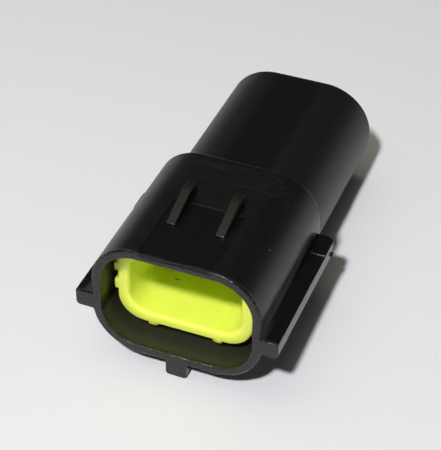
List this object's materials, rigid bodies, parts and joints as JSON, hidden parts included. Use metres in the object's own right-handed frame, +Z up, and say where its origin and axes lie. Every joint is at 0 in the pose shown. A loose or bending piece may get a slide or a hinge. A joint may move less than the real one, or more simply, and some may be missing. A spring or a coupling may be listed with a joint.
{
  "type": "sealed automotive connector",
  "caption": "Sealed wire-to-wire connector, tab side: oval shroud with side rails and catch ribs, sliding cup-shaped lock plate inside, narrower wire barrel behind.",
  "frame": {"origin": "middle of the shroud's mouth, in the plane of its front face", "axes": "+Y along the housing from the mouth towards the wires, +Z up towards the catch ribs, +X to the right seen from the front"},
  "size_m": [0.0228, 0.039, 0.0173],
  "materials": {
    "black_plastic": "satin as moulded",
    "yellow_plastic": "satin as moulded",
    "tinned_brass": "tin plated",
    "seal_rubber": "soft silicone"
  },
  "bodies": {
    "connector_body": {"housing": "black_plastic", "tab_terminal_1": "tinned_brass", "tab_terminal_2": "tinned_brass", "tab_terminal_3": "tinned_brass", "wire_seal_1": "seal_rubber", "wire_seal_2": "seal_rubber", "wire_seal_3": "seal_rubber"},
    "sliding_plate": {"lock_plate": "yellow_plastic"}
  },
  "joints": [
    {"name": "lock_plate_slide", "type": "slide", "parent": "connector_body", "child": "sliding_plate", "axis": [0, -1, 0], "range_m": [0, 0.0018]}
  ]
}
